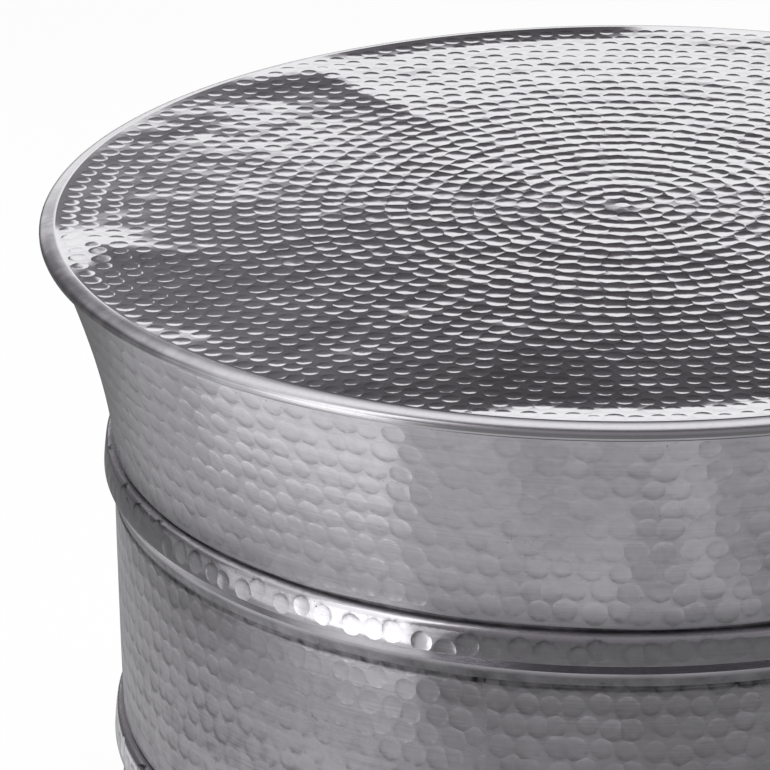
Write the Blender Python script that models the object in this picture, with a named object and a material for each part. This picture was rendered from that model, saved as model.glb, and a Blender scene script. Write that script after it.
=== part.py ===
"""Hammered metal drum coffee table: a braced round top on a drum of sheet-metal bands and bulged rings.

Metres, +Z up. The origin is on the floor, under the middle of the drum.
"""

import math

import bmesh
import bpy
from mathutils import Vector

# Driving dimensions of the drum
RIM_DIAMETER = 0.600  # over the rolled rim of the top
FOOT_DIAMETER = 0.596  # over the rolled foot edge
WAIST_DIAMETER = 0.5336  # outside of every band where it meets a ring
UPPER_FLARE_HEIGHT = 0.1103  # lower edge of the upper flare to its hook flange
WAIST_HEIGHT = 0.1237  # waist band in view between the rings
LOWER_FLARE_HEIGHT = 0.1135  # middle of the foot bead to the lower ring
FLARE_POWER = 1.53  # sweep of both flares, where 1 is a straight cone
SHEET = 0.0012  # aluminium sheet of the plate, bands and rings
SEAM_GAP = 0.0003  # clearance in every seam, lap and seat

# Driving dimensions of the rings
NECK_LAP = 0.012  # neck hidden inside the band above
GROOVE_HEIGHT = 0.0036  # strip of neck in view under the band above
RING_RISE = 0.0116  # groove down to the crest of the bulge
RING_FALL = 0.0070  # crest down to the lip
RING_BULGE = 0.0048  # crest beyond the waist band
RING_SHOULDER = 0.7  # fullness of the bulge under the groove, where 1 is a plain wave and less is fuller
LIP_HEIGHT = 0.0077  # straight lip round the band below

# Driving dimensions of the rim, the foot and the braces
RIM_WIRE_DIAMETER = 0.003
HOOK_WIDTH = 0.0030  # hook flange of the upper flare, which ends under the rim wire
PLATE_DISH = 0.0010  # plate below the top of the rim
PLATE_EDGE_BAND = 0.030  # outer band of the plate that rises to the rim
FOOT_WIRE_DIAMETER = 0.005
CURL_END = math.radians(145)  # raw edge of the foot curl, round its wire
BRACE_WIDTH = 0.030
BRACE_THICKNESS = 0.005
BRACE_TAB = 0.026  # turned-down end of a brace bar, welded to the flare
RIVET_DIAMETER = 0.005
RIVET_HEAD = 0.009
RIVET_HEAD_HEIGHT = 0.0015
GLIDE_COUNT = 6
GLIDE_BASE = 0.0024  # glide under the foot bead
GLIDE_ARM = 0.0022
GLIDE_PAD_WIDTH = 0.009
GLIDE_GRIP = math.radians(25)  # outer arm above the middle of the foot bead
GLIDE_INNER_END = math.radians(205)  # inner arm, where the wall leaves the bead

# Facets: every round piece has the same divisions, with a flat facing +X, so that nested walls stay parallel
DIVISIONS = 60
CURVE_STEPS = 4
RISE_STEPS = 4
FALL_STEPS = 2
CORNER_STEPS = 3
CURL_STEPS = 8
WIRE_SIDES = 6
RIVET_SIDES = 24

# Radii
rim_radius = RIM_DIAMETER / 2
foot_radius = FOOT_DIAMETER / 2
waist_radius = WAIST_DIAMETER / 2
rim_wire_radius = RIM_WIRE_DIAMETER / 2
foot_wire_radius = FOOT_WIRE_DIAMETER / 2
rim_corner = rim_wire_radius + SEAM_GAP + SHEET
foot_bead = foot_wire_radius + SEAM_GAP + SHEET
rim_wire_place = rim_radius - rim_corner
foot_wire_place = foot_radius - foot_bead
flare_top = rim_wire_place - HOOK_WIDTH
neck_radius = waist_radius - SHEET - SEAM_GAP
lip_inside = waist_radius + SEAM_GAP

# Levels, from the floor up
foot_bead_level = GLIDE_BASE + SEAM_GAP + foot_bead
ring_height = GROOVE_HEIGHT + RING_RISE + RING_FALL + LIP_HEIGHT
lower_ring_bottom = foot_bead_level + LOWER_FLARE_HEIGHT
lower_ring_top = lower_ring_bottom + ring_height
upper_ring_bottom = lower_ring_top + WAIST_HEIGHT
upper_ring_top = upper_ring_bottom + ring_height
hook_level = upper_ring_top + UPPER_FLARE_HEIGHT
rim_wire_level = hook_level + SHEET + SEAM_GAP + rim_wire_radius
rim_top = rim_wire_level + rim_corner
plate_level = rim_top - PLATE_DISH
brace_level = plate_level - SHEET - SEAM_GAP
brace_underside = brace_level - BRACE_THICKNESS


def clear_scene():
    for thing in list(bpy.data.objects):
        bpy.data.objects.remove(thing, do_unlink=True)


def arc(centre, radius, start, end, steps):
    """Points of a round stretch in the (radius, height) plane, both ends included."""
    points = []
    for step in range(steps + 1):
        angle = start + (end - start) * step / steps
        points.append((centre[0] + radius * math.cos(angle), centre[1] + radius * math.sin(angle)))
    return points


def offset(path, distance):
    """The path moved to the left of its direction, with mitred corners."""
    points = [Vector(point) for point in path]
    runs = [(after - before).normalized() for before, after in zip(points, points[1:])]
    moved = []
    for index, point in enumerate(points):
        before = runs[max(index - 1, 0)]
        after = runs[min(index, len(runs) - 1)]
        mitre = Vector((-before.y - after.y, before.x + after.x))
        moved.append(tuple(point + mitre * (2 * distance / mitre.length_squared)))
    return moved


def walled(path, thickness):
    """Section of a sheet whose outer face follows the path."""
    return path + offset(path, -thickness)[::-1]


def flare_radius(share, narrow, wide):
    return narrow + (wide - narrow) * share**FLARE_POWER


def finished(name, shape, colour, roughness, metallic):
    """A smooth-shaded object of its own material, made from the bmesh."""
    bmesh.ops.remove_doubles(shape, verts=shape.verts, dist=1e-6)
    bmesh.ops.recalc_face_normals(shape, faces=shape.faces)
    mesh = bpy.data.meshes.new(name)
    shape.to_mesh(mesh)
    shape.free()
    mesh.shade_smooth()
    mesh.set_sharp_from_angle(angle=math.radians(30))
    metal = bpy.data.materials.new(name + "_finish")
    metal.use_nodes = True
    shader = metal.node_tree.nodes["Principled BSDF"]
    shader.inputs["Base Color"].default_value = (*colour, 1)
    shader.inputs["Roughness"].default_value = roughness
    shader.inputs["Metallic"].default_value = metallic
    mesh.materials.append(metal)
    thing = bpy.data.objects.new(name, mesh)
    bpy.context.collection.objects.link(thing)
    return thing


def standing(section, angle):
    """The (radius, height) points of a section stood up in space at an angle round the Z axis."""
    return [(r * math.cos(angle), r * math.sin(angle), height) for r, height in section]


def turned(section, closed, sides):
    """Shape of revolution about the Z axis. An open section starts and ends on the axis."""
    shape = bmesh.new()
    corners = [shape.verts.new(point) for point in standing(section, math.pi / sides)]
    edges = [shape.edges.new(pair) for pair in zip(corners, corners[1:])]
    if closed:
        edges.append(shape.edges.new((corners[-1], corners[0])))
    bmesh.ops.spin(
        shape,
        geom=corners + edges,
        axis=(0, 0, 1),
        angle=2 * math.pi,
        steps=sides,
        use_merge=True,
    )
    return shape


def prism(front, back):
    """Closed shape between two like outlines, given as points in space."""
    shape = bmesh.new()
    near = [shape.verts.new(point) for point in front]
    far = [shape.verts.new(point) for point in back]
    shape.faces.new(near)
    shape.faces.new(far[::-1])
    for index in range(len(near)):
        following = (index + 1) % len(near)
        shape.faces.new((near[following], near[index], far[index], far[following]))
    return shape


def top_plate():
    """Round sheet that dips inside its edge band, rolls over the rim wire and tucks under the hook flange."""
    tuck_level = hook_level - SEAM_GAP
    lower_corner = (rim_wire_place, tuck_level - SHEET + rim_corner)
    outer = [(0, plate_level), (rim_radius - PLATE_EDGE_BAND, plate_level)]
    outer += arc((rim_wire_place, rim_wire_level), rim_corner, math.pi / 2, 0, CORNER_STEPS)
    outer += arc(lower_corner, rim_corner, 0, -math.pi / 2, CORNER_STEPS)
    outer.append((flare_top + SEAM_GAP, tuck_level - SHEET))
    return finished("top_plate", turned(walled(outer, SHEET), False, DIVISIONS), (0.62, 0.62, 0.64), 0.22, 1)


def wire(name, radius, place, level):
    section = arc((place, level), radius, 0, 2 * math.pi, WIRE_SIDES)[:-1]
    return finished(name, turned(section, True, DIVISIONS), (0.45, 0.45, 0.46), 0.40, 1)


def upper_flare_path():
    """Outer face of the upper flare, from the end of its hook flange down to its lower edge."""
    path = [(rim_wire_place, hook_level)]
    for step in range(CURVE_STEPS, -1, -1):
        share = step / CURVE_STEPS
        level = upper_ring_top + share * UPPER_FLARE_HEIGHT
        path.append((flare_radius(share, waist_radius, flare_top), level))
    return path


def upper_flare():
    section = walled(upper_flare_path(), SHEET)
    return finished("upper_flare", turned(section, True, DIVISIONS), (0.55, 0.55, 0.57), 0.32, 1)


def ring(name, top):
    """Hoop with a neck that slips up into the band above, a bulge, and a lip round the band below."""
    groove = top - GROOVE_HEIGHT
    crest = groove - RING_RISE
    lip_top = crest - RING_FALL
    crest_radius = waist_radius + RING_BULGE
    lip_face = lip_inside + SHEET
    face = [(neck_radius, top + NECK_LAP), (neck_radius, groove)]
    for step in range(1, RISE_STEPS + 1):
        share = step / RISE_STEPS
        bulge = (crest_radius - neck_radius) * math.sin(share * math.pi / 2) ** RING_SHOULDER
        face.append((neck_radius + bulge, groove - share * RING_RISE))
    for step in range(1, FALL_STEPS + 1):
        share = step / FALL_STEPS
        bulge = (crest_radius - lip_face) * math.cos(share * math.pi / 2)
        face.append((lip_face + bulge, crest - share * RING_FALL))
    face.append((lip_face, lip_top - LIP_HEIGHT))
    section = walled(face, SHEET)
    return finished(name, turned(section, True, DIVISIONS), (0.50, 0.50, 0.52), 0.26, 1)


def waist_band():
    path = [(waist_radius, upper_ring_bottom + LIP_HEIGHT), (waist_radius, lower_ring_top)]
    section = walled(path, SHEET)
    return finished("waist_band", turned(section, True, DIVISIONS), (0.50, 0.50, 0.52), 0.32, 1)


def lower_flare():
    """Band that sweeps out to the foot, where its edge curls round the foot wire."""
    curl = foot_wire_radius + SEAM_GAP
    centre = (foot_wire_place, foot_bead_level)
    lean = math.atan2(FLARE_POWER * (foot_wire_place - curl - waist_radius), LOWER_FLARE_HEIGHT)
    curl_path = arc(centre, curl, math.pi + lean, 2 * math.pi + CURL_END, CURL_STEPS)
    wall_foot, foot_level = curl_path[0]
    path = [(waist_radius, lower_ring_bottom + LIP_HEIGHT)]
    for step in range(CURVE_STEPS):
        share = step / CURVE_STEPS
        level = lower_ring_bottom + share * (foot_level - lower_ring_bottom)
        path.append((flare_radius(share, waist_radius, wall_foot), level))
    section = walled(path + curl_path, SHEET)
    return finished("lower_flare", turned(section, True, DIVISIONS), (0.50, 0.50, 0.52), 0.32, 1)


def brace_end():
    """Upper outer corner and lower outer corner of a brace bar, in the plane of its length."""
    middle = brace_level - BRACE_TAB / 2
    share = (middle - upper_ring_top) / UPPER_FLARE_HEIGHT
    slope = FLARE_POWER * (flare_top - waist_radius) / UPPER_FLARE_HEIGHT * share ** (FLARE_POWER - 1)
    wall = flare_radius(share, waist_radius, flare_top) - SHEET * math.hypot(1, slope)
    flat_of_wall = wall * math.cos(math.pi / DIVISIONS)
    reach = math.sqrt(flat_of_wall**2 - (BRACE_WIDTH / 2) ** 2) - SEAM_GAP * math.hypot(1, slope)
    rise = slope * BRACE_TAB / 2
    return (reach + rise, brace_level), (reach - rise, brace_level - BRACE_TAB)


def rivet_section(grown):
    """Countersunk head at the top, shank, and a formed head under the lower bar. Grown is its clearance."""
    head = RIVET_HEAD / 2 + grown
    shank = RIVET_DIAMETER / 2 + grown
    formed = brace_underside - SEAM_GAP
    return [
        (0, brace_level),
        (head, brace_level),
        (shank, brace_level - RIVET_HEAD_HEIGHT),
        (shank, formed),
        (head, formed),
        (head - RIVET_HEAD_HEIGHT / 2, formed - RIVET_HEAD_HEIGHT),
        (0, formed - RIVET_HEAD_HEIGHT),
    ]


def brace_rivet():
    return finished("brace_rivet", turned(rivet_section(0), False, RIVET_SIDES), (0.55, 0.55, 0.56), 0.35, 1)


def rivet_hole():
    """Cutter for the two brace bars: the rivet with its clearance, run out past both faces."""
    head, shank = rivet_section(SEAM_GAP)[1:3]
    above = brace_level + BRACE_THICKNESS
    below = brace_underside - BRACE_THICKNESS
    section = [(0, above), (head[0], above), head, shank, (shank[0], below), (0, below)]
    cutter = finished("rivet_hole", turned(section, False, RIVET_SIDES), (0.5, 0.5, 0.5), 0.5, 0)
    cutter.hide_render = True
    cutter.display_type = "WIRE"
    return cutter


def brace(name, notch_above, across, hole):
    """Flat bar with turned-down ends, halved at the middle where it crosses the other bar."""
    upper, lower = brace_end()
    top = [(-lower[0], lower[1]), (-upper[0], upper[1]), upper, lower]
    under = offset(top, -BRACE_THICKNESS)[::-1]
    half = BRACE_WIDTH / 2 + SEAM_GAP
    halving = brace_level - BRACE_THICKNESS / 2
    if notch_above:
        floor = halving - SEAM_GAP / 2
        top[2:2] = [(-half, brace_level), (-half, floor), (half, floor), (half, brace_level)]
    else:
        roof = halving + SEAM_GAP / 2
        under[2:2] = [(half, brace_underside), (half, roof), (-half, roof), (-half, brace_underside)]
    outline = top + under
    side = BRACE_WIDTH / 2
    if across:
        shape = prism([(side, x, z) for x, z in outline], [(-side, x, z) for x, z in outline])
    else:
        shape = prism([(x, -side, z) for x, z in outline], [(x, side, z) for x, z in outline])
    bar = finished(name, shape, (0.58, 0.58, 0.59), 0.40, 1)
    cut = bar.modifiers.new("rivet_hole", "BOOLEAN")
    cut.operation = "DIFFERENCE"
    cut.solver = "EXACT"
    cut.object = hole
    return bar


def foot_glide(index):
    """Plastic clip under one facet of the foot bead, with a flat pad on the floor."""
    seat = foot_bead + SEAM_GAP
    centre = (foot_wire_place, foot_bead_level)
    outer_end = 2 * math.pi + GLIDE_GRIP
    section = arc(centre, seat, GLIDE_INNER_END, outer_end, CURL_STEPS)
    section.append(arc(centre, seat + GLIDE_ARM, outer_end, outer_end, 1)[0])
    section.append((foot_wire_place + seat + GLIDE_ARM, foot_bead_level))
    section.append((foot_wire_place + GLIDE_PAD_WIDTH / 2, 0))
    section.append((foot_wire_place - GLIDE_PAD_WIDTH / 2, 0))
    section.append(arc(centre, seat + GLIDE_ARM, GLIDE_INNER_END, GLIDE_INNER_END, 1)[0])
    facet = 2 * math.pi / DIVISIONS
    middle = facet * (index * DIVISIONS // GLIDE_COUNT)
    shape = prism(standing(section, middle - facet / 2), standing(section, middle + facet / 2))
    return finished(f"foot_glide_{index + 1}", shape, (0.03, 0.03, 0.03), 0.55, 0)


clear_scene()
top_plate()
wire("rim_wire", rim_wire_radius, rim_wire_place, rim_wire_level)
upper_flare()
ring("upper_ring", upper_ring_top)
waist_band()
ring("lower_ring", lower_ring_top)
lower_flare()
wire("foot_wire", foot_wire_radius, foot_wire_place, foot_bead_level)
rivet_cutter = rivet_hole()
brace("cross_brace_upper", False, False, rivet_cutter)
brace("cross_brace_lower", True, True, rivet_cutter)
brace_rivet()
for glide in range(GLIDE_COUNT):
    foot_glide(glide)
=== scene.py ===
import cmath
import math
import random
import bmesh
import bpy
from mathutils import Matrix, Vector, geometry, kdtree, noise


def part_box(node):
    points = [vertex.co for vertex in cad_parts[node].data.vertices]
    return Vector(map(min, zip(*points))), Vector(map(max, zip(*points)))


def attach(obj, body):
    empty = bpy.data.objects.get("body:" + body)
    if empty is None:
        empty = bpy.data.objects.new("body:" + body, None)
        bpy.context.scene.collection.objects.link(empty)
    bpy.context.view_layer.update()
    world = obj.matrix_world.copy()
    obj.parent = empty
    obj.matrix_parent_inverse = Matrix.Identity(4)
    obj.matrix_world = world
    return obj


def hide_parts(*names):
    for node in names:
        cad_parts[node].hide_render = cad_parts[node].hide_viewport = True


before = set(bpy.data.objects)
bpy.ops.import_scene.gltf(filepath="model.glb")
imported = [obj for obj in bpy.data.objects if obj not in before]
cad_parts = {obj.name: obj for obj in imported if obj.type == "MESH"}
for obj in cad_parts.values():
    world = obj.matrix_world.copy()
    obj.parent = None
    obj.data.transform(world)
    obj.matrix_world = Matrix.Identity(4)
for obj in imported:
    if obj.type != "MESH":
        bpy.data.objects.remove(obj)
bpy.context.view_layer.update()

bpy.ops.object.select_all(action="DESELECT")


# Foot glides. Six black plastic clips pushed up over the curled foot edge, so that
# the metal never touches the floor. Injection moulded, with a fine matt grain on them.
class Finish:
    """One output of a material's nodes. Arithmetic on it adds Math nodes."""

    def __init__(self, socket):
        self.socket = socket

    def node(self, kind, settings=None, inputs=None, output=0):
        made = self.socket.id_data.nodes.new(kind)
        for name, value in (settings or {}).items():
            if name == "stops":
                ramp = made.color_ramp
                while len(ramp.elements) < len(value):
                    ramp.elements.new(1)
                for element, (position, colour) in zip(ramp.elements, value):
                    element.position = position
                    element.color = (*colour, 1)
            else:
                setattr(made, name, value)
        for name, value in (inputs or {}).items():
            if isinstance(value, Finish):
                self.socket.id_data.links.new(value.socket, made.inputs[name])
            else:
                made.inputs[name].default_value = value
        return Finish(made.outputs[output])

    def math(self, operation, first, second=0.0):
        return self.node("ShaderNodeMath", {"operation": operation}, {0: first, 1: second})

    def __add__(self, other):
        return self.math("ADD", self, other)

    def __radd__(self, other):
        return self.math("ADD", other, self)

    def __sub__(self, other):
        return self.math("SUBTRACT", self, other)

    def __rsub__(self, other):
        return self.math("SUBTRACT", other, self)

    def __mul__(self, other):
        return self.math("MULTIPLY", self, other)

    def __rmul__(self, other):
        return self.math("MULTIPLY", other, self)

    def between(self, low, high):
        """0 below low and 1 above high, with a soft step from one to the other."""
        return self.node(
            "ShaderNodeMapRange",
            {"interpolation_type": "SMOOTHSTEP"},
            {"Value": self, "From Min": low, "From Max": high},
        )

    def stretched(self, x, y, z):
        return self.node("ShaderNodeMapping", None, {"Vector": self, "Scale": (x, y, z)})

    def part(self, axis):
        """One coordinate of this vector: X, Y or Z."""
        return self.node("ShaderNodeSeparateXYZ", None, {"Vector": self}, axis)

    def noise(self, scale, detail=2.0, roughness=0.5):
        """Cloudy values round 0.5, in marks of about 1 / scale metres."""
        inputs = {"Vector": self, "Scale": scale, "Detail": detail, "Roughness": roughness}
        return self.node("ShaderNodeTexNoise", None, inputs)

    def shade(self, dark, light):
        """Colour from dark to light as this value goes from 0 to 1."""
        return self.node("ShaderNodeValToRGB", {"stops": [(0, dark), (1, light)]}, {"Fac": self})

    def bumped(self, distance, strength=1.0):
        inputs = {"Height": self, "Distance": distance, "Strength": strength}
        return self.node("ShaderNodeBump", None, inputs)

    def feeds(self, socket):
        self.socket.id_data.links.new(self.socket, socket)


def new_finish(name, metallic):
    """A new material, its shader's inputs and its object coordinates."""
    material = bpy.data.materials.new(name)
    material.use_nodes = True
    shader = material.node_tree.nodes["Principled BSDF"]
    shader.inputs["Metallic"].default_value = metallic
    coordinates = material.node_tree.nodes.new("ShaderNodeTexCoord")
    return material, shader.inputs, Finish(coordinates.outputs["Object"])


glide_plastic, sockets, place = new_finish("moulded_black_plastic", 0)
grain = place.noise(2600, 3)
place.noise(140, 2).shade((0.016, 0.016, 0.017), (0.034, 0.034, 0.036)).feeds(sockets["Base Color"])
(0.46 + 0.16 * grain).feeds(sockets["Roughness"])
grain.bumped(0.00006, 0.6).feeds(sockets["Normal"])
for index in range(1, 7):
    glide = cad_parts[f"foot_glide_{index}"]
    glide.data.materials.clear()
    glide.data.materials.append(glide_plastic)


# Foot wire. A hard steel wire that the foot edge is curled round, drawn smooth and left
# bare, so it is dull and a little stained. It shows only at the raw edge of the curl.
drawn_steel, sockets, place = new_finish("drawn_steel_wire", 1)
stain = place.noise(90, 4)
stain.shade((0.30, 0.29, 0.28), (0.52, 0.52, 0.53)).feeds(sockets["Base Color"])
(0.30 + 0.25 * stain).feeds(sockets["Roughness"])
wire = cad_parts["foot_wire"]
wire.data.materials.clear()
wire.data.materials.append(drawn_steel)


# Lower flare. A strip of aluminium sheet, hammered flat in rows, rolled into a hoop and
# swept out to the foot, where its edge is curled outwards round the foot wire.
SHEET = 0.0012
LEANING_SHEET = 1.04 * SHEET  # measured level through a flare
SEAM_GAP = 0.0003
WAIST_RADIUS = 0.2668
FLARE_POWER = 1.53  # sweep of both flares, where 1 is a straight cone
FLARE_STEPS = 24
FOOT_WIRE_PLACE = 0.294
FOOT_CURL = 0.0028
CURL_END = 145  # degrees round the foot wire, from its outer side up to the raw edge
CURL_STEPS = 16
FOLD_ANGLE = math.radians(38)  # sharper folds stay hard
BAND_MARKS = {
    "row_pitch": 0.0116,
    "pitch": 0.0123,
    "size": (0.0052, 0.0066),
    "slope": 0.13,
    "floor_depth": 0.00009,
    # side of each mark's edge that gets painted shade; the other side gets a little painted highlight
    "shaded_side": -0.3 - 1j,
}
MARK_CORNERS = 14
MARK_RINGS = (0.87, 0.5)
MARK_CLEARANCE = 0.0004  # from a mark to the loose points between the marks
AROUND = 360  # points round a hoop
SEAM_STEPS = 40  # points up a seam
SEAM_WIDTH = 0.0001  # along the strip, from its end to the top of the lap's step
LAP_RUN = 0.05  # along the strip, until the end that stands proud is back on the round
EDGE_FADE = 0.003  # marks grow shallow this close to the edges of a strip
LOOSE_PITCH = 0.0012  # between the rows of loose points


def cut_back(outline, way, limit):
    """The part of a convex outline that reaches no further than the limit that way."""
    kept = []
    for index, corner in enumerate(outline):
        following = outline[(index + 1) % len(outline)]
        here = (corner * way.conjugate()).real - limit
        there = (following * way.conjugate()).real - limit
        if here <= 1e-12:
            kept.append(corner)
        if (here > 1e-12 and there < -1e-12) or (here < -1e-12 and there > 1e-12):
            kept.append(corner + (following - corner) * here / (here - there))
    return kept


def mark_outline(size, near, corners, fences):
    """Round edge of one hammer mark about its own middle, cut straight where it runs into its neighbours."""
    crossings = []
    for apart, other_size in near:
        distance = abs(apart)
        if abs(size - other_size) < distance < size + other_size:
            half = math.acos((distance**2 + size**2 - other_size**2) / (2 * distance * size))
            facing = cmath.phase(apart)
            crossings += [facing - half, facing + half]
    step = 2 * math.pi / corners
    angles = [crossing % (2 * math.pi) for crossing in crossings]
    for index in range(corners):
        angle = index * step
        if all(abs((angle - other + math.pi) % (2 * math.pi) - math.pi) > 0.4 * step for other in crossings):
            angles.append(angle)
    outline = [cmath.rect(size, angle) for angle in sorted(angles)]
    for apart, other_size in near:
        outline = cut_back(outline, 2 * apart, abs(apart) ** 2 + size**2 - other_size**2)
    for way, limit in fences:
        outline = cut_back(outline, way, limit)
    return outline


def hammered(marks, slope, floor_depth, corners, rings, fences, rim, ridges=(), between=(), shaded_side=-1j):
    """Flat sheet with round marks beaten in: points, their depths and painted rim shade, triangles and
    creases.

    Points are complex numbers. A mark is a bowl with about that slope at its edge, and its floor flattens
    out towards floor_depth. Its round edge has that many corners, and the rings are the shares of its outline
    that get points too. The rim is the sheet's edge, the ridges are lines of points that get a crease, and
    the points between the marks let the sheet bend there. Each mark's edge gets painted shade on its shaded
    side and a little painted highlight on the other, as a value that the materials turn darker or lighter.
    """
    tree = kdtree.KDTree(len(marks))
    for index, (middle, size) in enumerate(marks):
        tree.insert((middle.real, middle.imag, 0), index)
    tree.balance()
    widest = max(size for middle, size in marks)
    rng = random.Random(len(marks))
    points = list(rim)
    lines = [(index, (index + 1) % len(rim)) for index in range(len(rim))]
    for ridge in ridges:
        lines += [(index, index + 1) for index in range(len(points), len(points) + len(ridge) - 1)]
        points += ridge
    depths = [0.0] * len(points)
    rim_shades = [0.0] * len(points)
    for index, (middle, size) in enumerate(marks):
        found = tree.find_range((middle.real, middle.imag, 0), 2 * widest)
        near = [(marks[i][0] - middle, marks[i][1]) for place, i, distance in found if i != index]
        limits = [(way, limit - (middle * way.conjugate()).real) for way, limit in fences(middle)]
        outline = mark_outline(size, near, corners, limits)
        if len(outline) < 3:
            continue
        heart = sum(outline) / len(outline)
        inner = [heart + share * (corner - heart) for share in rings for corner in outline[::2]]
        skew = cmath.rect(rng.uniform(0, 0.35), rng.uniform(0, 2 * math.pi)) / size
        steep = slope * rng.uniform(0.7, 1.15)
        shade_strength = rng.uniform(0.3, 1.0)
        start = len(points)
        lines += [(start + i, start + (i + 1) % len(outline)) for i in range(len(outline))]
        for corner in outline + inner + [heart]:
            bowl = max(steep / 2 * (size - abs(corner) ** 2 / size), 0.0)
            bowl *= 1 + (corner * skew.conjugate()).real
            points.append(middle + corner)
            depths.append(floor_depth * math.tanh(bowl / floor_depth))
            # Painted shade on the mark's shaded side, a little painted highlight on the other
            facing = (corner * shaded_side.conjugate()).real / size
            towards_edge = shade_strength * (abs(corner) / size) ** 4
            rim_shades.append(towards_edge * (0.25 + (0.75 if facing > 0 else 0.55) * facing))
    for point in between:
        found = tree.find_range((point.real, point.imag, 0), widest + MARK_CLEARANCE)
        if all(distance > marks[i][1] + MARK_CLEARANCE for place, i, distance in found):
            points.append(point)
            depths.append(0.0)
            rim_shades.append(0.0)
    made = geometry.delaunay_2d_cdt([Vector((p.real, p.imag)) for p in points], lines, [], 0, 5e-7)
    flat, edges, faces, from_points, from_lines = made[:5]
    deep = [depths[source[0]] if source else 0.0 for source in from_points]
    dull = [rim_shades[source[0]] if source else 0.0 for source in from_points]
    creases = [edge for edge, source in zip(edges, from_lines) if source]
    return flat, deep, dull, faces, creases


def sheet_piece(name, flat, dull, faces, creases, placed):
    """Mesh object of a hammered sheet: every flat point goes to its place, and its flat place is its UV."""
    mesh = bpy.data.meshes.new(name)
    mesh.from_pydata(placed, [], faces)
    uv = mesh.uv_layers.new(name="sheet")
    for loop in mesh.loops:
        uv.data[loop.index].uv = flat[loop.vertex_index]
    # Each point's painted rim shade, which the materials read
    mesh.attributes.new("dull", "FLOAT", "POINT").data.foreach_set("value", dull)
    creased = {tuple(sorted(edge)) for edge in creases}
    for edge in mesh.edges:
        edge.use_edge_sharp = tuple(sorted(edge.vertices)) in creased
    mesh.shade_smooth()
    mesh.update()
    piece = bpy.data.objects.new(name, mesh)
    bpy.context.scene.collection.objects.link(piece)
    return piece


def section_lookup(section):
    """Function from the length along a (radius, level) section to its point and outward normal."""
    lengths = [0.0]
    for before, after in zip(section, section[1:]):
        lengths.append(lengths[-1] + math.dist(before, after))

    def look(length):
        index = 0
        while index < len(section) - 2 and lengths[index + 1] < length:
            index += 1
        share = (length - lengths[index]) / (lengths[index + 1] - lengths[index])
        here, there = Vector(section[index]), Vector(section[index + 1])
        run = there - here
        if index and share < 0.5:
            run = run.normalized().lerp((here - Vector(section[index - 1])).normalized(), 0.5 - share)
        elif index < len(section) - 2 and share >= 0.5:
            run = run.normalized().lerp((Vector(section[index + 2]) - there).normalized(), share - 0.5)
        run.normalize()
        return here.lerp(there, share), Vector((run.y, -run.x))

    return look, lengths[-1]


def edit(piece):
    """Takes the piece alone into edit mode, with nothing selected."""
    bpy.ops.object.select_all(action="DESELECT")
    bpy.context.view_layer.objects.active = piece
    piece.select_set(True)
    bpy.ops.object.mode_set(mode="EDIT")
    bpy.ops.mesh.select_mode(type="EDGE")
    bpy.ops.mesh.select_all(action="DESELECT")


def rolled_strip(
    name, section, seed, ease, row_pitch, pitch, size, slope, floor_depth, shaded_side, lap=0.0, wave=0.0,
    fold=None,
):
    """Hammered strip rolled into a hoop whose outer face follows the section, from its lower edge up.

    Its rows of marks keep the ease from both edges. Its ends meet in an upright seam, where one end stands
    proud by the lap. The wave is in its lower edge. The fold is the length along the section where the sheet
    has a hard bend, which the marks don't cross.
    """
    rng = random.Random(seed)
    look, height = section_lookup(section)
    length = 2 * math.pi * WAIST_RADIUS
    count = round(length / pitch)
    rows = max(1, round((height - 2 * ease) / row_pitch))
    marks = []
    for row in range(rows):
        shift = 0.5 * (row % 2) + rng.uniform(-0.15, 0.15)
        for index in range(count):
            along = (index + shift + rng.gauss(0, 0.13)) * length / count
            up = ease + (height - 2 * ease) * (row + 0.5 + rng.gauss(0, 0.08)) / rows
            marks.append((complex(along % length, up), rng.uniform(*size)))
    fences = [(-1j, -0.0005), (1j, height - 0.0005), (-1, -SEAM_WIDTH - 0.0004), (1, length - 0.0006)]
    fences = [(complex(way), limit) for way, limit in fences]
    levels = [height * index / SEAM_STEPS for index in range(SEAM_STEPS + 1)]
    rim = [complex(length * index / AROUND, 0) for index in range(AROUND)]
    rim += [complex(length, level) for level in levels[:-1]]
    rim += [complex(length * index / AROUND, height) for index in range(AROUND, 0, -1)]
    rim += [complex(0, level) for level in levels[:0:-1]]
    ridges = [[complex(SEAM_WIDTH, level) for level in levels[1:-1]]]
    if fold:
        fences.append((-1j, -fold - 0.0003))
        ridges.append([complex(length * index / AROUND, fold) for index in range(AROUND + 1)])
    between = []
    for row in range(1, round(height / LOOSE_PITCH)):
        shift = 0.25 + 0.5 * (row % 2)
        level = row * LOOSE_PITCH
        between += [complex(length * (index + shift) / AROUND, level) for index in range(AROUND - 1)]

    def short_of_edges(middle):
        return fences

    flat, deep, dull, faces, creases = hammered(
        marks, slope, floor_depth, MARK_CORNERS, MARK_RINGS, short_of_edges, rim, ridges, between, shaded_side
    )
    placed = []
    for point, depth in zip(flat, deep):
        (radius, level), (out, up) = look(point.y)
        fade = max(0.0, min(1.0, point.y / EDGE_FADE, (height - point.y) / EDGE_FADE))
        step = lap * max(0.0, 1 - point.x / LAP_RUN) ** 2 * min(1.0, point.x / SEAM_WIDTH)
        radius += step - out * depth * fade
        level -= up * depth * fade
        angle = point.x / length * 2 * math.pi
        level += wave * (1 - point.y / height) * (math.sin(7 * angle + seed) + 0.7 * math.sin(18 * angle))
        placed.append((radius * math.cos(angle), radius * math.sin(angle), level))
    piece = sheet_piece(name, flat, dull, faces, creases, placed)
    edit(piece)
    bpy.ops.mesh.select_all(action="SELECT")
    bpy.ops.mesh.remove_doubles(threshold=3e-6)
    bpy.ops.mesh.select_all(action="DESELECT")
    return piece


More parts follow.
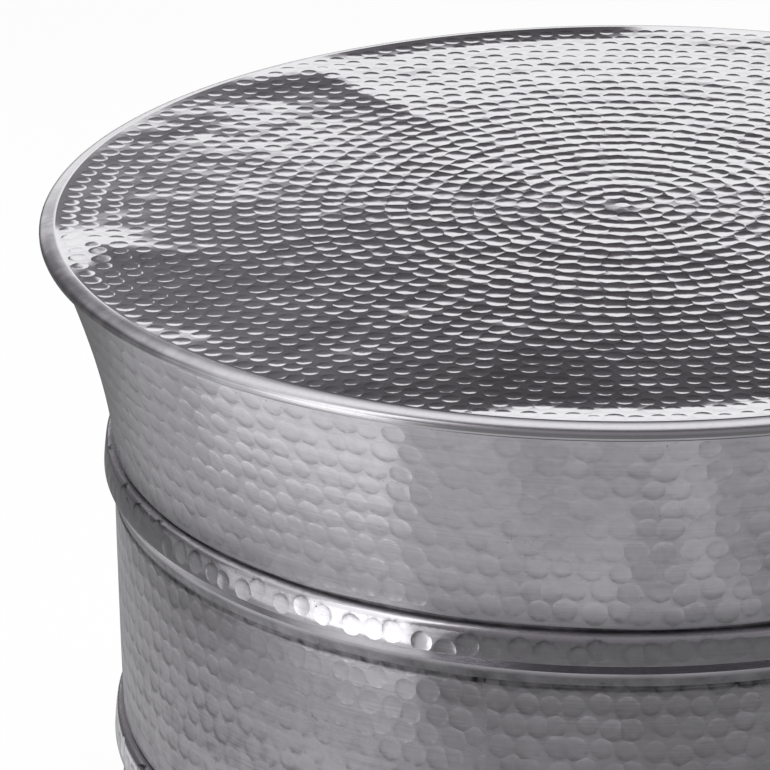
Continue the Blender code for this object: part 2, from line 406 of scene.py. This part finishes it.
def pick_open_edges(piece, low=-1.0, high=9.0):
    """Selects the open level edges of the piece between two levels, and nothing else."""
    shape = bmesh.from_edit_mesh(piece.data)
    for edge in shape.edges:
        bottom, top = sorted(vert.co.z for vert in edge.verts)
        edge.select_set(edge.is_boundary and low <= bottom and top <= high and top - bottom < 0.0006)
    shape.select_flush_mode()
    bmesh.update_edit_mesh(piece.data)


def drawn_on(section):
    """Extrudes the selected open edge round the axis through the next points of a (radius, level) section."""
    for (radius, level), (next_radius, next_level) in zip(section, section[1:]):
        bpy.ops.mesh.extrude_edges_move(TRANSFORM_OT_translate={"value": (0, 0, next_level - level)})
        grown = next_radius / radius
        bpy.ops.transform.resize(value=(grown, grown, 1), center_override=(0, 0, 0))


def closed_up(piece):
    """Bridges the last two open edges of a sheet and shades it smooth over its folds."""
    pick_open_edges(piece)
    bpy.ops.mesh.bridge_edge_loops()
    bpy.ops.object.mode_set(mode="OBJECT")
    bpy.ops.object.shade_smooth_by_angle(angle=FOLD_ANGLE, keep_sharp_edges=True)
    bpy.ops.object.select_all(action="DESELECT")


def arc(centre, radius, start, end, steps):
    """Round stretch of a (radius, level) section, in degrees, both ends included."""
    angles = [math.radians(start + (end - start) * step / steps) for step in range(steps + 1)]
    return [(centre[0] + radius * math.cos(a), centre[1] + radius * math.sin(a)) for a in angles]


def satin_aluminium(name, roughness, tint, dark_bands=(), shading=0.55):
    """Hammered sheet after a wheel has been run along it: satin, with fine lines lengthways and small pits.

    Each dark band is the level where the sheet starts to turn darker and rougher, where it is full, and how
    dark it is. The shading is how strongly the painted rim shade darkens the marks' edges.
    """
    material, sockets, place = new_finish(name, 1)
    sheet = place.node("ShaderNodeTexCoord", output="UV")
    lines = sheet.stretched(45, 800, 1).noise(1, 3, 0.6)
    long_lines = sheet.stretched(9, 330, 1).noise(1, 3)
    cloud = place.noise(16, 4, 0.6)
    mottle = place.noise(110, 4, 0.65)
    pits = 1 - place.noise(900, 2).between(0.25, 0.34)
    patch = place.noise(38, 2).between(0.48, 0.66)
    dull = place.node("ShaderNodeAttribute", {"attribute_name": "dull"}, None, "Fac")
    tone = 0.9 * cloud + 0.6 * lines + 0.5 * long_lines + 0.8 * mottle - 0.85
    # Painted shade on one side of each mark's edge and a little painted highlight on the other
    tone = tone - 0.9 * pits * patch - shading * dull
    level = place.part("Z")
    rough = roughness - 0.07 + 0.08 * cloud + 0.08 * lines
    for begins, full, amount in dark_bands:
        way = 1 if full > begins else -1
        darkening = amount * (way * level + 0.002 * (mottle - 0.5)).between(way * begins, way * full)
        tone = tone - 1.2 * darkening
        rough = rough + 0.4 * darkening
    stops = [(at, [share * part for part in tint]) for at, share in ((0, 0.05), (0.5, 0.72), (1, 1.06))]
    shaded = tone.node("ShaderNodeValToRGB", {"stops": stops}, {"Fac": 0.5 + 0.5 * tone})
    shaded.feeds(sockets["Base Color"])
    rough.feeds(sockets["Roughness"])
    height = 0.5 * lines + 0.4 * long_lines + 0.5 * mottle - 1.2 * pits * patch
    height.bumped(0.00007, 0.4).feeds(sockets["Normal"])
    return material


flare_low, flare_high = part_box("lower_flare")
ring_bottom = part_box("lower_ring")[0].z
bead_middle = (FOOT_WIRE_PLACE, flare_low.z + FOOT_CURL + SHEET)
spread = FLARE_POWER * (FOOT_WIRE_PLACE - FOOT_CURL - WAIST_RADIUS)
curl_start = 180 + math.degrees(math.atan2(spread, ring_bottom - bead_middle[1]))
curl = arc(bead_middle, FOOT_CURL, curl_start, 360 + CURL_END, CURL_STEPS)
back_of_curl = arc(bead_middle, FOOT_CURL + SHEET, 360 + CURL_END, curl_start, CURL_STEPS)
foot_face = [(WAIST_RADIUS, flare_high.z)]
for step in range(FLARE_STEPS):
    share = step / FLARE_STEPS
    level = ring_bottom + share * (curl[0][1] - ring_bottom)
    foot_face.append((WAIST_RADIUS + (curl[0][0] - WAIST_RADIUS) * share**FLARE_POWER, level))
foot_face.append(curl[0])
lower_flare = rolled_strip("lower_flare_sheet", foot_face[::-1], 11, 0.002, **BAND_MARKS)
pick_open_edges(lower_flare, high=curl[0][1] + 0.0005)
inside = [(radius - LEANING_SHEET, level + 0.0003) for radius, level in foot_face[1:-1:4]]
drawn_on(curl + back_of_curl + inside[::-1] + [(WAIST_RADIUS - SHEET, flare_high.z)])
closed_up(lower_flare)
BAND_ROUGHNESS = 0.15
BAND_TINT = (0.765, 0.745, 0.79)
band_satin = satin_aluminium("satin_hammered_aluminium", BAND_ROUGHNESS, BAND_TINT)
lower_flare.data.materials.append(band_satin)
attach(lower_flare, "root")
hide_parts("lower_flare")


# Lower ring. A narrow hoop of the same sheet, beaten out into a bulge over a stake. Its neck
# slips up inside the waist band, and its lower edge is a thin straight lip round the flare.
NECK_RADIUS = WAIST_RADIUS - SHEET - SEAM_GAP
NECK_LAP = 0.012
RING_MARKS = {
    "row_pitch": 0.030,
    "pitch": 0.0126,
    "size": (0.0049, 0.0058),
    "slope": 0.15,
    "floor_depth": 0.00020,
    # side of each mark's edge that gets painted shade; the other side gets a little painted highlight
    "shaded_side": -0.3 + 1j,
}
# Outlines are (radius, drop below the edge of the band above), the face from the lip up to the groove
LIP_TAPER = [(0.2684, 0.0231), (0.2683, 0.0238), (0.2680, 0.0260), (0.2672, 0.0289), (0.2670, 0.0299)]
LIP_FOOT = 0.2669
RING_FACE = [
    (0.2684, 0.0231), (0.2691, 0.0219), (0.2699, 0.0205), (0.2708, 0.0189), (0.2716, 0.0176),
    (0.2716, 0.0166), (0.2715, 0.0150), (0.2713, 0.0130), (0.2710, 0.0105), (0.2707, 0.0080),
    (0.2704, 0.0060), (0.2702, 0.0047), (0.2698, 0.0037), (0.2691, 0.0029), (0.2681, 0.0023),
    (0.2668, 0.0019), (0.2655, 0.0018),
]
CREST = 4  # the point of the face where the sheet has its hard bend


def ring_piece(name, node, seed):
    """One ring: its hammered face, with the neck, the inner wall and the lip drawn on from its two edges."""
    low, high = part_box(node)
    top = high.z - NECK_LAP
    face = [(radius, top - drop) for radius, drop in RING_FACE]
    lip = [(radius, top - drop) for radius, drop in LIP_TAPER]
    lip_top = lip[0][1]
    groove = face[-1][1]
    fold = sum(math.dist(before, after) for before, after in zip(face, face[1 : CREST + 1]))
    piece = rolled_strip(name, face, seed, 0.001, **RING_MARKS, fold=fold)
    pick_open_edges(piece, low=groove - 0.0005)
    neck = [face[-1], (NECK_RADIUS, groove), (NECK_RADIUS, high.z), (NECK_RADIUS - SHEET, high.z)]
    neck.append((NECK_RADIUS - SHEET, groove - 0.001))
    inside = [(radius - SHEET, level - 0.0004) for radius, level in face[-3:3:-3]]
    drawn_on(neck + inside + [(0.2674, lip_top - 0.0010), (0.2666, low.z)])
    pick_open_edges(piece, lip_top - 0.001, lip_top + 0.001)
    drawn_on(lip + [(LIP_FOOT, low.z)])
    closed_up(piece)
    # Painted shade in the groove at the neck, and a darker band over the lip
    dark_bands = [(top - 0.0036, top - 0.0019, 0.95), (lip_top + 0.0010, lip_top - 0.0032, 0.84)]
    piece.data.materials.append(satin_aluminium(f"{name}_polish", 0.12, BAND_TINT, dark_bands, 1.35))
    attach(piece, "root")
    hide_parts(node)


ring_piece("lower_ring_hoop", "lower_ring", 23)


# Waist band. A straight hammered strip rolled into a hoop and lapped at one upright seam,
# whose outer end stands a little proud. It stands on the lower ring, inside the upper ring's lip.
LAP_STEP = 0.0003
SEAM_PLACE = 104  # degrees that the seam is turned round the drum from where the strip is rolled
WAIST_BOW = 0.0005
WAIST_STEPS = 12
WAIST_TINT = (0.69, 0.67, 0.71)
waist_low, waist_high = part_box("waist_band")
waist_face = []
for step in range(WAIST_STEPS + 1):
    bow = WAIST_BOW * (1 - (2 * step / WAIST_STEPS - 1) ** 4)
    level = waist_low.z + (waist_high.z - waist_low.z) * step / WAIST_STEPS
    waist_face.append((WAIST_RADIUS - WAIST_BOW + bow, level))
waist = rolled_strip("waist_sheet", waist_face, 37, 0.001, **BAND_MARKS, lap=LAP_STEP)
bpy.ops.mesh.select_all(action="SELECT")
bpy.ops.transform.rotate(value=math.radians(SEAM_PLACE), orient_axis="Z", center_override=(0, 0, 0))
pick_open_edges(waist, low=waist_high.z - 0.0005)
drawn_on([waist_face[-1], (NECK_RADIUS + SEAM_GAP, waist_high.z), (NECK_RADIUS + SEAM_GAP, waist_low.z)])
closed_up(waist)
under_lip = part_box("upper_ring")[0].z
# Painted shade on the waist just under the upper ring's lip, and the waist darker towards the bottom
dark_bands = [(under_lip - 0.0050, under_lip - 0.0024, 0.92), (0.275, 0.195, 0.50)]
waist_satin = satin_aluminium("satin_waist_aluminium", BAND_ROUGHNESS, WAIST_TINT, dark_bands)
waist.data.materials.append(waist_satin)
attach(waist, "root")
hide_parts("waist_band")


# Upper ring. The lower ring's twin, between the waist band and the upper flare. The flare's
# lower edge stands over its neck, which leaves a groove above the bulge, darkened with painted shade.
ring_piece("upper_ring_hoop", "upper_ring", 41)


# Upper flare. A hammered strip swept out to the top. Its upper edge is turned outwards as a
# hook flange under the rim wire, where the edge of the top is rolled round both.
FLARE_TOP = 0.2940
FLARE_SHARE = 0.985  # of the sweep, above which the sheet turns over into the hook flange
LOWER_EDGE_WAVE = 0.0003
RIM_WIRE_PLACE = 0.2970
flare_low, flare_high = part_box("upper_flare")
rise = flare_high.z - flare_low.z
flare_face = []
for step in range(FLARE_STEPS + 1):
    share = step / FLARE_STEPS * FLARE_SHARE
    radius = WAIST_RADIUS + (FLARE_TOP + 0.0006 - WAIST_RADIUS) * share**FLARE_POWER
    flare_face.append((radius, flare_low.z + share * (rise - SHEET)))
upper_flare = rolled_strip("upper_flare_sheet", flare_face, 59, 0.002, **BAND_MARKS, wave=LOWER_EDGE_WAVE)
pick_open_edges(upper_flare, low=flare_face[-1][1] - 0.0005)
hook = [flare_face[-1], (FLARE_TOP, flare_high.z - SHEET), (RIM_WIRE_PLACE, flare_high.z - SHEET)]
hook += [(RIM_WIRE_PLACE, flare_high.z), (FLARE_TOP - SHEET, flare_high.z)]
inside = [(radius - LEANING_SHEET, level + 0.0002) for radius, level in flare_face[-2:0:-4]]
drawn_on(hook + inside + [(WAIST_RADIUS - SHEET, flare_low.z)])
closed_up(upper_flare)
# Painted shade on the flare's lower edge, over the groove
dark_bands = [(flare_low.z + 0.0015, flare_low.z, 0.6)]
flare_satin = satin_aluminium("satin_flare_aluminium", BAND_ROUGHNESS, BAND_TINT, dark_bands)
upper_flare.data.materials.append(flare_satin)
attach(upper_flare, "root")
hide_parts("upper_flare")


# Cross braces and their rivet. Two flat bars, halved into each other under the top and
# riveted, with their ends turned down and welded inside the flare. Mill finish, never polished.
mill_bar, sockets, place = new_finish("mill_finish_bar", 1)
scale = place.noise(55, 4)
streak = place.stretched(20, 20, 900).noise(1, 2)
(0.7 * scale + 0.3 * streak).shade((0.42, 0.42, 0.43), (0.66, 0.66, 0.67)).feeds(sockets["Base Color"])
(0.30 + 0.25 * scale).feeds(sockets["Roughness"])
streak.bumped(0.00004, 0.4).feeds(sockets["Normal"])
for node in ("cross_brace_upper", "cross_brace_lower", "brace_rivet"):
    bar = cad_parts[node]
    bar.data.materials.clear()
    bar.data.materials.append(mill_bar)


# Rim wire. The same drawn steel wire as at the foot, laid in the rolled edge of the top,
# where it stiffens the rim and can hardly be seen.
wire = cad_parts["rim_wire"]
wire.data.materials.clear()
wire.data.materials.append(drawn_steel)


# Top. One round aluminium sheet, beaten from the middle outwards in a spiral of small round
# marks, then polished. Its edge rises a little and is rolled over the rim wire as a smooth bead.
PITCH = 0.0112
FIRST_TURN = 0.9  # radius of the first marks round the middle one, in pitches
MARK_SIZE = (0.0040, 0.0052)
MARK_SLOPE = 0.051
MARK_FLOOR = 0.000066
MERGE_RADIUS = 0.25  # inside this the marks grow wider and run into each other
MERGE_RUN = 0.12
DISH = 0.0010
EDGE_START = 0.270
ROLL_START = 0.2915
ROLL_WIDTH = 0.0085
ROLL_HEIGHT = 0.0042
ROLL_STEPS = 16
plate_low, plate_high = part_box("top_plate")
rim_top = plate_high.z
plate_level = rim_top - DISH
rng = random.Random(7)
marks = [(0j, 0.0046)]
turn = 0.0
while True:
    radius = PITCH * (turn + FIRST_TURN)
    if radius > ROLL_START - 0.0022:
        break
    merged = max(0.0, min(1.0, (MERGE_RADIUS - radius) / MERGE_RUN))
    middle = cmath.rect(radius + rng.gauss(0, 0.0007 - 0.0004 * merged), 2 * math.pi * turn)
    marks.append((middle, (1 + 0.38 * merged) * rng.uniform(*MARK_SIZE)))
    turn += PITCH * (0.95 + 0.10 * merged) * rng.uniform(0.84, 1.16) / (2 * math.pi * radius)
rim = [cmath.rect(ROLL_START, 2 * math.pi * index / AROUND) for index in range(AROUND)]


def short_of_roll(middle):
    return [(middle / max(abs(middle), 1e-6), ROLL_START - 0.0007)]


flat, deep, dull, faces, creases = hammered(
    marks, MARK_SLOPE, MARK_FLOOR, 12, (0.88, 0.7, 0.4), short_of_roll, rim
)
# Angle in degrees, and the share of the edge's rise that lies in its last 20 mm there
EDGE_LIFT = [
    (-180, -0.3), (-170, -0.3), (-160, -0.1), (-150, 0.2), (-143, 0.45), (-127, 0.45), (-118, 0.0),
    (-105, -0.3), (-99, 0.3), (-90, 0.6), (-84, 0.85), (-30, 0.85), (30, 0.6), (75, 0.3), (115, 0.35),
    (121, 0.25), (125, 0.05), (129, -0.2), (134, 0.3), (140, 0.7), (154, 0.6), (164, 0.3), (172, -0.1),
    (180, -0.3),
]
# Two low swellings: x, y, half length, half width, turn in degrees and rise
SWELLINGS = [
    (-0.270, -0.068, 0.032, 0.013, -10, 0.00055),
    (-0.184, 0.204, 0.026, 0.016, 17, 0.00042),
]


def edge_lift(angle):
    """How much of the edge's rise is in its last 20 mm, at an angle in degrees."""
    for (start, low), (end, high) in zip(EDGE_LIFT, EDGE_LIFT[1:]):
        if angle <= end:
            return low + (high - low) * (angle - start) / (end - start)


def plate_height(x, y):
    """Level of the sheet before its marks: it rises a little to its edge, and has the waves of hand work."""
    radius = math.hypot(x, y)
    angle = math.atan2(y, x)
    start = EDGE_START - 0.026 * math.exp(-(((math.degrees(angle) - 146) / 13) ** 2))
    steep = max(0.0, (radius - start) / (ROLL_START - start)) ** 1.3
    slow = max(0.0, (radius - 0.08) / (ROLL_START - 0.08)) ** 1.5
    share = edge_lift(math.degrees(angle))
    height = plate_level + (rim_top - plate_level) * (share * steep + (1 - share) * slow)
    free = 1 - max(0.0, (radius - EDGE_START) / (ROLL_START - EDGE_START)) ** 2
    for middle_x, middle_y, half_length, half_width, degrees, rise in SWELLINGS:
        away = cmath.rect(1, -math.radians(degrees)) * complex(x - middle_x, y - middle_y)
        off_middle = (away.real / half_length) ** 2 + (away.imag / half_width) ** 2
        height += free * rise * math.exp(-0.5 * off_middle)
    outer = max(0.0, min(1.0, (radius - 0.16) / 0.11)) ** 2
    height += free * outer * 0.00016 * (math.sin(5 * angle + 0.7) + math.sin(9 * angle + 2.1))
    row = radius / PITCH - FIRST_TURN - angle / (2 * math.pi)
    height -= 0.000026 * max(0.0, min(1.0, (0.22 - radius) / 0.10)) * math.cos(2 * math.pi * row)
    height += free * 0.00009 * noise.noise(Vector((x / 0.045, y / 0.045, 3.0)))
    height += free * 0.00006 * noise.noise(Vector((x / 0.017, y / 0.017, 8.0)))
    return height


placed = []
for point, depth in zip(flat, deep):
    placed.append((point.x, point.y, plate_height(point.x, point.y) - depth))
top = sheet_piece("hammered_top", flat, dull, faces, creases, placed)
edit(top)
pick_open_edges(top)
roll_level = rim_top - ROLL_HEIGHT
roll = []
for step in range(ROLL_STEPS + 1):
    angle = math.radians(90 / ROLL_STEPS * step)
    roll.append((ROLL_START + ROLL_WIDTH * math.sin(angle), roll_level + ROLL_HEIGHT * math.cos(angle)))
tail = plate_low.z
under = plate_level - SHEET
roll += [(0.29995, tail + 0.0022), (0.2996, tail + 0.0012), (0.2989, tail + 0.0005), (0.2980, tail + 0.0001)]
roll += [(RIM_WIRE_PLACE, tail), (FLARE_TOP + SEAM_GAP, tail), (FLARE_TOP + SEAM_GAP, tail + SHEET)]
roll += [(0.2980, tail + SHEET), (0.2990, tail + 0.0025), (0.2991, tail + 0.0040), (0.2984, tail + 0.0057)]
roll += [(0.2970, tail + 0.0063), (0.2910, tail + 0.0066), (0.2700, under), (0.2000, under)]
drawn_on(roll)
bpy.ops.mesh.edge_face_add()
bpy.ops.object.mode_set(mode="OBJECT")
bpy.ops.object.shade_smooth_by_angle(angle=FOLD_ANGLE, keep_sharp_edges=True)
top_polish, sockets, place = new_finish("polished_hammered_aluminium", 1)
cloud = place.noise(9, 4)
rub = place.noise(160, 3)
off_axis = place.stretched(1, 1, 0)
radius = place.node("ShaderNodeVectorMath", {"operation": "LENGTH"}, {0: off_axis}, "Value")
bead = radius.between(ROLL_START, ROLL_START + 0.0017)
scuff = place.noise(420, 4, 0.65)
left = -1 * place.part("X")
near = -1 * place.part("Y")
dirt = bead * left.between(0.13, 0.27) * near.between(-0.06, 0.03)
dirt = dirt * place.noise(55, 3).between(0.30, 0.62)
dull = place.node("ShaderNodeAttribute", {"attribute_name": "dull"}, None, "Fac")
# The marks' edges get painted shade on their near side and a little painted highlight on the far side
tone = 0.65 + 0.25 * cloud + 0.10 * rub - bead * (0.06 + 0.19 * scuff) - 0.7 * dirt - 0.4 * dull
tone.shade((0.45, 0.44, 0.465), (0.88, 0.87, 0.895)).feeds(sockets["Base Color"])
(0.02 + 0.03 * cloud + 0.02 * rub + bead * (0.12 + 0.12 * scuff)).feeds(sockets["Roughness"])
(rub + 0.6 * bead * scuff).bumped(0.00003, 0.3).feeds(sockets["Normal"])
top.data.materials.append(top_polish)
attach(top, "root")
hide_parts("top_plate")


# Studio. A pale floor that runs on behind, one large soft lamp overhead that the metal doesn't mirror, and
# a soft panel with two weaker fills at the left, which it does. The metal also mirrors pools of light and a
# shadow round the foot, painted as glow on the floor, and a room that is bright low down behind and dark
# above.
bpy.context.scene.view_settings.view_transform = "Standard"
bpy.ops.mesh.primitive_grid_add(x_subdivisions=2, y_subdivisions=2, size=60, location=(0, 0, -0.0005))
floor = bpy.context.object
floor.name = "floor"
pale = bpy.data.materials.new("pale_floor")
pale.use_nodes = True
nodes = pale.node_tree.nodes
nodes.remove(nodes["Principled BSDF"])
path = nodes.new("ShaderNodeLightPath")
camera_ray = Finish(path.outputs["Is Camera Ray"])
mirrored = Finish(path.outputs["Is Glossy Ray"]) + Finish(path.outputs["Is Transmission Ray"])
place = camera_ray.node("ShaderNodeTexCoord", output="Object")
reach = place.node("ShaderNodeVectorMath", {"operation": "LENGTH"}, {0: place}, "Value")
left = -1 * place.part("X")
near = -1 * place.part("Y")
turned_left = place.math("ARCTAN2", left, near)
# Painted pool of light round the table, glowing only for mirrored rays, patchy at the right
pool = 0.11 + 0.29 * (1 - reach.between(0.50, 0.92))
pool = pool * (0.88 + 0.24 * turned_left.between(-0.6, 0.8))
pool = pool * (1 - 0.36 * turned_left.between(1.0, 1.8) * reach.between(0.66, 0.78))
patches = place.noise(9, 2).between(0.38, 0.62)
pool = pool * (1 + 0.6 * (patches - 0.5) * (1 - turned_left.between(0.2, 0.5)))
# Painted light where the panel would light the floor: a wedge at the left, in a close and a far part, and a
# patch at the foot
wedge = (0.847 * (left - 0.35) - 0.532 * (near - 0.40)).between(-0.016, 0.022)
wedge = wedge * turned_left.between(0.3, 0.4)
close_end = (reach - 0.03 * turned_left.between(0.9, 1.5)).between(0.52, 0.575)
close = 0.42 * wedge * reach.between(0.46, 0.52) * (1 - close_end) * (1 - turned_left.between(1.6, 2.75))
far = wedge * (0.06 + 0.46 * reach.between(0.76, 0.82)) * (1 - turned_left.between(0.75, 1.6))
at_foot = (1 - reach.between(0.42, 0.49)) * turned_left.between(0.66, 0.73)
at_foot = at_foot * (1 - turned_left.between(0.98, 1.5))
# The pool fades out towards the foot, a painted shadow of the table
pool = pool * reach.between(0.30, 0.47) + far + close + 0.69 * at_foot
plain = place.node("ShaderNodeBsdfDiffuse", None, {"Color": (0.8, 0.8, 0.8, 1)})
seen = camera_ray + mirrored * pool
white = place.node("ShaderNodeEmission", None, {"Color": (1, 1, 1, 1), "Strength": seen})
mixed = place.node("ShaderNodeMixShader", None, {0: 0.9 * (camera_ray + mirrored), 1: plain, 2: white})
mixed.feeds(nodes["Material Output"].inputs["Surface"])
floor.data.materials.append(pale)
world = bpy.data.worlds.new("studio")
bpy.context.scene.world = world
world.use_nodes = True
nodes = world.node_tree.nodes
path = nodes.new("ShaderNodeLightPath")
camera_ray = Finish(path.outputs["Is Camera Ray"])
way = camera_ray.node("ShaderNodeTexCoord", output="Generated")
across = way.part("X")
back = way.part("Y")
up = way.part("Z")
behind = back.between(0.80, 0.94)
tilted_up = up - 0.12 * across
low_band = 1 - tilted_up.between(0.3320, 0.3540)
low_band = low_band * low_band * behind
left_back = (-0.129 * back - across).between(-0.006, 0.006)
left_back = left_back * (1 - up.between(0.45, 0.60)) * back.between(0.86, 0.92)
right_side = across.between(0.45, 0.75) * (1 - up.between(0.30, 0.36))
overhead = up.between(0.45, 0.80) * back.between(-0.06, 0.30)
bright = low_band.math("MAXIMUM", low_band, left_back)
bright = bright.math("MAXIMUM", bright, 0.8 * right_side)
bright = bright.math("MAXIMUM", bright, overhead)
haze = (-1 * across).between(0.02, 0.13) * back.between(0.3, 0.8)
left_high = (-1 * across).between(0.20, 0.60) * up.between(0.35, 0.60) * back.between(-0.8, -0.4)
dark = 0.058 + 0.045 * (1 - tilted_up.between(0.355, 0.41)) * behind + 0.12 * haze
dark = dark + (0.12 + 0.06 * up.between(0.0, 0.7)) * (1 - back.between(-0.6, 0.0)) + 0.30 * left_high
glow = dark + (1 - dark) * bright
level = glow + camera_ray * (1 - glow)
level.feeds(nodes["Background"].inputs["Strength"])
level.shade((0.985, 0.935, 1.0), (1, 1, 1)).feeds(nodes["Background"].inputs["Color"])


def soft_lamp(name, place, target, width, height, watts, mirrored):
    """Soft rectangular lamp turned to its target, which the metal mirrors or not."""
    data = bpy.data.lights.new(name, "AREA")
    data.shape = "RECTANGLE"
    data.size = width
    data.size_y = height
    data.energy = watts
    lamp = bpy.data.objects.new(name, data)
    lamp.location = place
    lamp.rotation_euler = (Vector(target) - Vector(place)).to_track_quat("-Z", "Y").to_euler()
    lamp.visible_glossy = mirrored
    lamp.visible_camera = False
    bpy.context.scene.collection.objects.link(lamp)


soft_lamp("overhead_lamp", (0.0, 0.6, 2.6), (0, 0.2, 0), 2.0, 2.0, 60, False)
soft_lamp("left_panel", (-0.779, -0.664, 0.97), (0, 0, 0.97), 0.387, 1.9, 2.4, True)
soft_lamp("left_fill", (-0.98, -0.335, 0.97), (0, 0, 0.97), 0.40, 1.9, 0.95, True)
soft_lamp("left_far_fill", (-1.034, 0.036, 0.97), (0, 0, 0.97), 0.31, 1.9, 0.20, True)


# Camera. Above the front of the table with a long lens, turned a little to the left of its axis.
CAMERA_PLACE = (0, -2.2808, 1.2534)
LENS = 220.6
SENSOR = 36
PITCH_DOWN = math.radians(22.271)
YAW = math.radians(-3.12)
ROLL = math.radians(-0.982)
levelled = math.cos(PITCH_DOWN)
forward = Vector((math.sin(YAW) * levelled, math.cos(YAW) * levelled, -math.sin(PITCH_DOWN)))
right = Vector((math.cos(YAW), -math.sin(YAW), 0))
above = right.cross(forward)
picture_right = math.cos(ROLL) * right + math.sin(ROLL) * above
picture_up = -math.sin(ROLL) * right + math.cos(ROLL) * above
camera_data = bpy.data.cameras.new("camera")
camera_data.lens = LENS
camera_data.sensor_width = SENSOR
camera = bpy.data.objects.new("camera", camera_data)
turned = Matrix((picture_right, picture_up, -forward)).transposed().to_4x4()
camera.matrix_world = Matrix.Translation(CAMERA_PLACE) @ turned
bpy.context.scene.collection.objects.link(camera)
bpy.context.scene.camera = camera
